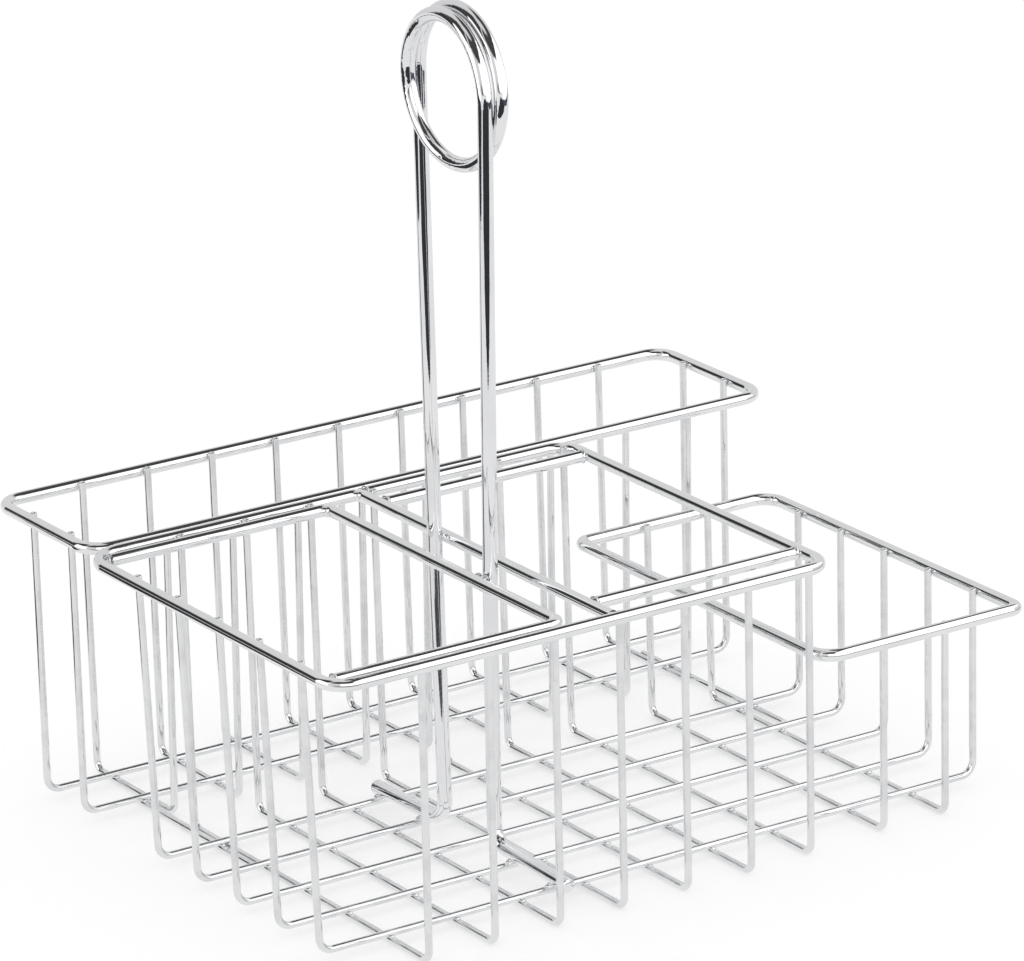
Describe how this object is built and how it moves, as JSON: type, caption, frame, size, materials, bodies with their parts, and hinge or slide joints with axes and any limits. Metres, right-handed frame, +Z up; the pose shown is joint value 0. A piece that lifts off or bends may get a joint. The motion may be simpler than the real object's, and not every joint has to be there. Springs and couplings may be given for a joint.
{
  "type": "wire condiment caddy",
  "caption": "Chrome wire tabletop caddy: a left and a middle bay in one frame, a low bay at the right, a long bay behind, and an upright rod handle coiled into a ring.",
  "frame": {"origin": "middle of the outline in X and Y, on the table", "axes": "+Z up, +X from the left bay to the low bay at the right, +Y from the front to the long rear bay"},
  "size_m": [0.2356, 0.1876, 0.2452],
  "materials": {
    "chrome": "bright polished plating"
  },
  "bodies": {
    "root": {"cross_wire_1": "chrome", "cross_wire_2": "chrome", "cross_wire_3": "chrome", "cross_wire_4": "chrome", "cross_wire_5": "chrome", "cross_wire_6": "chrome", "cross_wire_7": "chrome", "front_frame": "chrome", "handle": "chrome", "left_bay_rail": "chrome", "left_tie": "chrome", "long_wire_1": "chrome", "long_wire_2": "chrome", "long_wire_3": "chrome", "long_wire_4": "chrome", "long_wire_5": "chrome", "low_cross_wire_1": "chrome", "low_cross_wire_2": "chrome", "low_rim": "chrome", "middle_back_wire": "chrome", "middle_front_wire": "chrome", "rear_cross_wire_1": "chrome", "rear_cross_wire_2": "chrome", "rear_cross_wire_3": "chrome", "rear_cross_wire_4": "chrome", "rear_cross_wire_5": "chrome", "rear_cross_wire_6": "chrome", "rear_cross_wire_7": "chrome", "rear_cross_wire_8": "chrome", "rear_cross_wire_9": "chrome", "rear_long_wire_1": "chrome", "rear_long_wire_2": "chrome", "rear_rim": "chrome", "right_tie": "chrome"}
  },
  "joints": []
}
